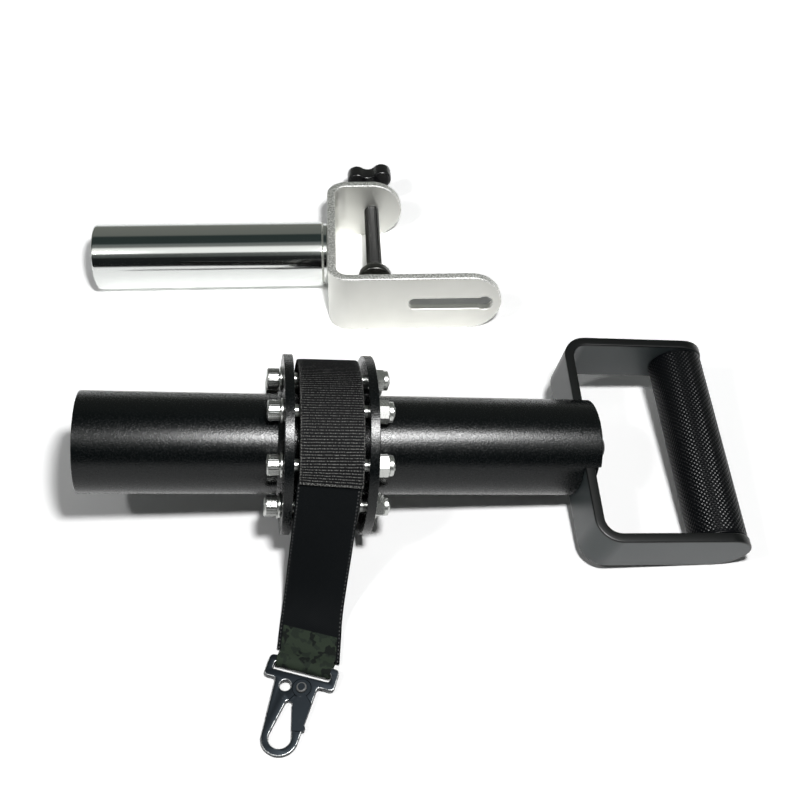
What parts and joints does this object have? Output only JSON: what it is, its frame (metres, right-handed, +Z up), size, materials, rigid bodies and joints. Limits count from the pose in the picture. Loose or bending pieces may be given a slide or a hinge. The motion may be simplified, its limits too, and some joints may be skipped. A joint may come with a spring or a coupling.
{
  "type": "wrist roller",
  "caption": "Strap drum roller with a D-handle grip, a hook on a webbing strap, and a separate screw-clamp spindle that the roller turns on",
  "frame": {"origin": "on the bench, under the middle of the bounding box of the whole set as laid out", "axes": "+Z up; +X along the spindle and roughly along the roller, from the open mouth to the handle; +Y back from the hook to the clamp knob"},
  "size_m": [0.3512, 0.4038, 0.0941],
  "materials": {
    "black_coat": "fine-textured black powder coat",
    "black_screw": "black oxide",
    "knurled_grip": "diamond knurl, black coated",
    "bright_steel": "bright plated steel",
    "satin_steel": "bead-blasted satin",
    "polished_steel": "polished",
    "screw_steel": "bright zinc",
    "spring_steel": "spring wire",
    "gunmetal": "gunmetal with worn bright edges",
    "ribbed_webbing": "cross-ribbed black webbing",
    "smooth_webbing": "smooth black webbing, stitched along both edges",
    "camo_webbing": "olive and black camouflage webbing",
    "nylon": "natural nylon",
    "black_plastic": "moulded gloss black"
  },
  "bodies": {
    "set": {"main_tube": "black_coat", "outer_bushing": "nylon", "inner_bushing": "nylon", "left_flange": "black_coat", "right_flange": "black_coat", "flange_bolt_1": "bright_steel", "flange_bolt_2": "bright_steel", "flange_bolt_3": "bright_steel", "flange_bolt_4": "bright_steel", "flange_bolt_5": "bright_steel", "flange_bolt_6": "bright_steel", "flange_bolt_7": "bright_steel", "flange_bolt_8": "bright_steel", "bolt_washer_1": "bright_steel", "bolt_washer_2": "bright_steel", "bolt_washer_3": "bright_steel", "bolt_washer_4": "bright_steel", "bolt_washer_5": "bright_steel", "bolt_washer_6": "bright_steel", "bolt_washer_7": "bright_steel", "bolt_washer_8": "bright_steel", "lock_nut_1": "bright_steel", "lock_nut_2": "bright_steel", "lock_nut_3": "bright_steel", "lock_nut_4": "bright_steel", "lock_nut_5": "bright_steel", "lock_nut_6": "bright_steel", "lock_nut_7": "bright_steel", "lock_nut_8": "bright_steel", "handle_bracket": "black_coat", "grip_bar": "knurled_grip", "end_plug": "bright_steel", "end_disc": "black_coat", "handle_washer": "black_screw", "handle_screw": "black_screw", "drum_webbing": "ribbed_webbing", "pull_strap": "smooth_webbing", "camo_loop": "camo_webbing", "clamp_bracket": "satin_steel", "spindle": "polished_steel", "spindle_cap": "black_plastic"},
    "hook": {"hook_body": "gunmetal", "gate_rivet": "gunmetal", "gate_spring": "spring_steel"},
    "gate": {"hook_gate": "gunmetal"},
    "pad": {"swivel_pad": "screw_steel"},
    "screw": {"clamp_screw": "screw_steel", "clamp_knob": "black_plastic"}
  },
  "joints": [
    {"name": "hook_swing", "type": "hinge", "parent": "set", "child": "hook", "pos_m": [-0.05247, -0.16024, 0.00361], "axis": [-0.9409, 0.3387, 0], "range_deg": [-100, 115]},
    {"name": "hook_gate", "type": "hinge", "parent": "hook", "child": "gate", "pos_m": [-0.054, -0.17158, 0.00304], "axis": [0.0174, 0.0483, -0.9987], "range_deg": [0, 18], "stiffness_Nm_per_rad": 0.05, "springref_deg": -8.59},
    {"name": "pad_slide", "type": "slide", "parent": "set", "child": "pad", "axis": [0.0419, 0.9991, 0], "range_m": [-0.0167, 0.06]},
    {"name": "screw_turn", "type": "hinge", "parent": "pad", "child": "screw", "pos_m": [0.00111, 0.11843, 0.02056], "axis": [0.0419, 0.9991, 0], "range_deg": [-4009, 14401]}
  ],
  "couplings": [
    {"joint": "screw_turn", "follows": "pad_slide", "rad_per_m": 4188.8}
  ]
}
